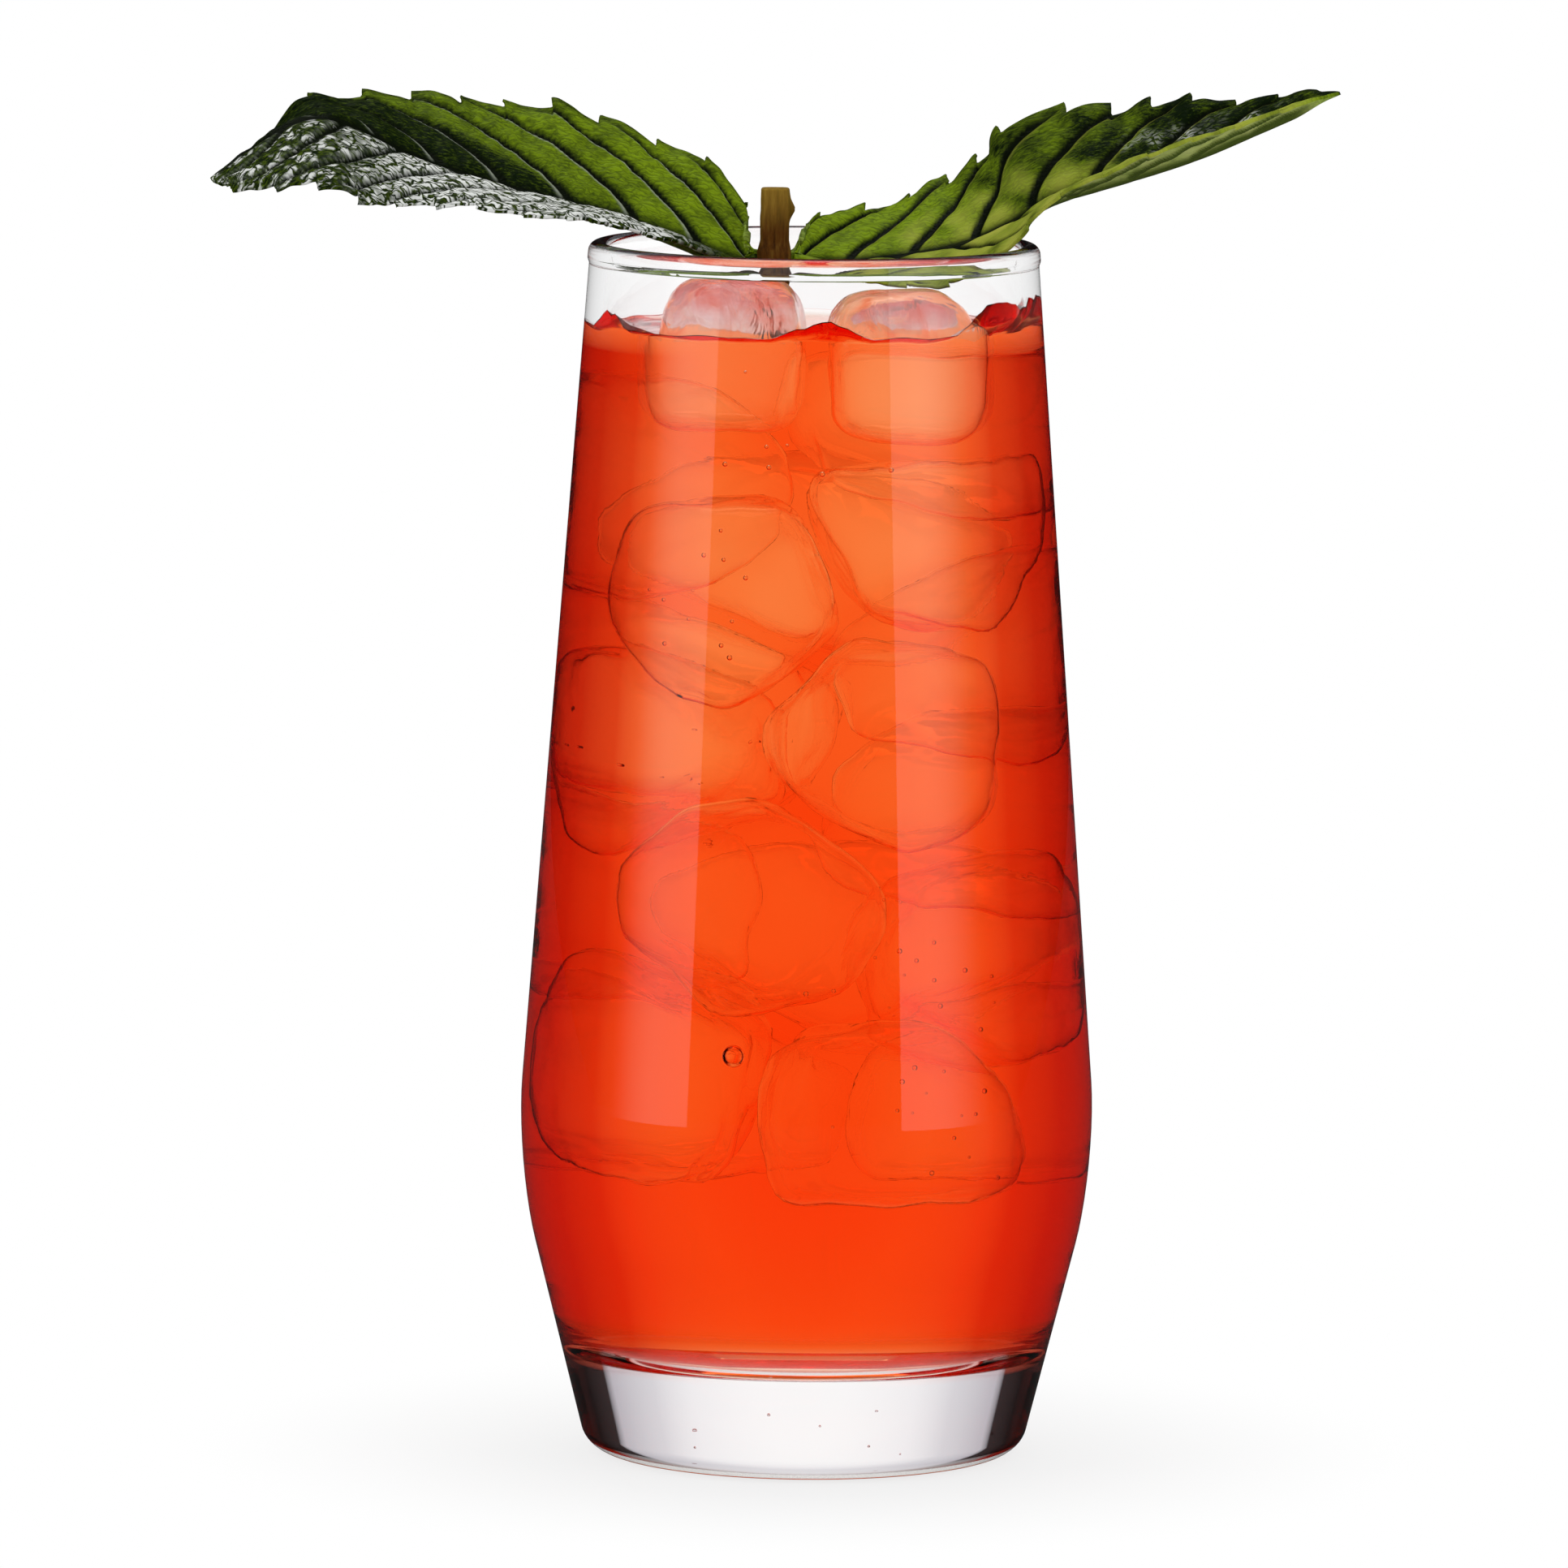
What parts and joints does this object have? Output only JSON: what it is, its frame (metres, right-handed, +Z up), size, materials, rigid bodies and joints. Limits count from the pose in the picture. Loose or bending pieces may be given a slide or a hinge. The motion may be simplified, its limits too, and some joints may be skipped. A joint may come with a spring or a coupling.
{
  "type": "mojito glass",
  "caption": "Tall tapered glass tumbler of iced orange-red drink with a sprig of mint laid across its rim; sprig and upper ice lift out.",
  "frame": {"origin": "centre of the flat underside of the tumbler's foot, on the tumbler's axis", "axes": "+Z up the tumbler's axis; +X to the right and +Y away from the viewer in the picture"},
  "size_m": [0.1382, 0.0708, 0.169],
  "materials": {
    "clear_glass": "clear, polished",
    "red_drink": "clear orange-red liquid",
    "ice": "clear ice with melted edges",
    "stalk": "matt brown-green plant stalk",
    "leaf": "satin quilted green leaf"
  },
  "bodies": {
    "glass": {"tumbler": "clear_glass", "drink": "red_drink", "ice_back_right": "ice", "ice_01": "ice", "ice_02": "ice", "ice_03": "ice", "ice_04": "ice", "ice_05": "ice", "ice_06": "ice", "ice_07": "ice", "ice_08": "ice", "ice_09": "ice", "ice_10": "ice", "ice_11": "ice", "ice_12": "ice", "ice_13": "ice", "ice_14": "ice", "ice_15": "ice", "ice_16": "ice", "ice_17": "ice"},
    "sprig": {"mint_stem": "stalk"},
    "left_leaf": {"mint_leaf_left": "leaf"},
    "right_leaf": {"mint_leaf_right": "leaf"},
    "left_ice": {"ice_front_left": "ice"},
    "right_ice": {"ice_front_right": "ice"}
  },
  "joints": [
    {"name": "sprig_lift", "type": "slide", "parent": "glass", "child": "sprig", "axis": [0, 0, 1], "range_m": [0, 0.04]},
    {"name": "left_leaf_flex", "type": "hinge", "parent": "sprig", "child": "left_leaf", "pos_m": [-0.00715, 0.011, 0.1468], "axis": [0, 1, 0], "range_deg": [0, 12]},
    {"name": "right_leaf_flex", "type": "hinge", "parent": "sprig", "child": "right_leaf", "pos_m": [-0.00265, 0.011, 0.1468], "axis": [0, -1, 0], "range_deg": [0, 12]},
    {"name": "ice_front_left_lift", "type": "slide", "parent": "glass", "child": "left_ice", "axis": [0, 0, 1], "range_m": [0, 0.03]},
    {"name": "ice_front_right_lift", "type": "slide", "parent": "glass", "child": "right_ice", "axis": [0, 0, 1], "range_m": [0, 0.03]}
  ]
}
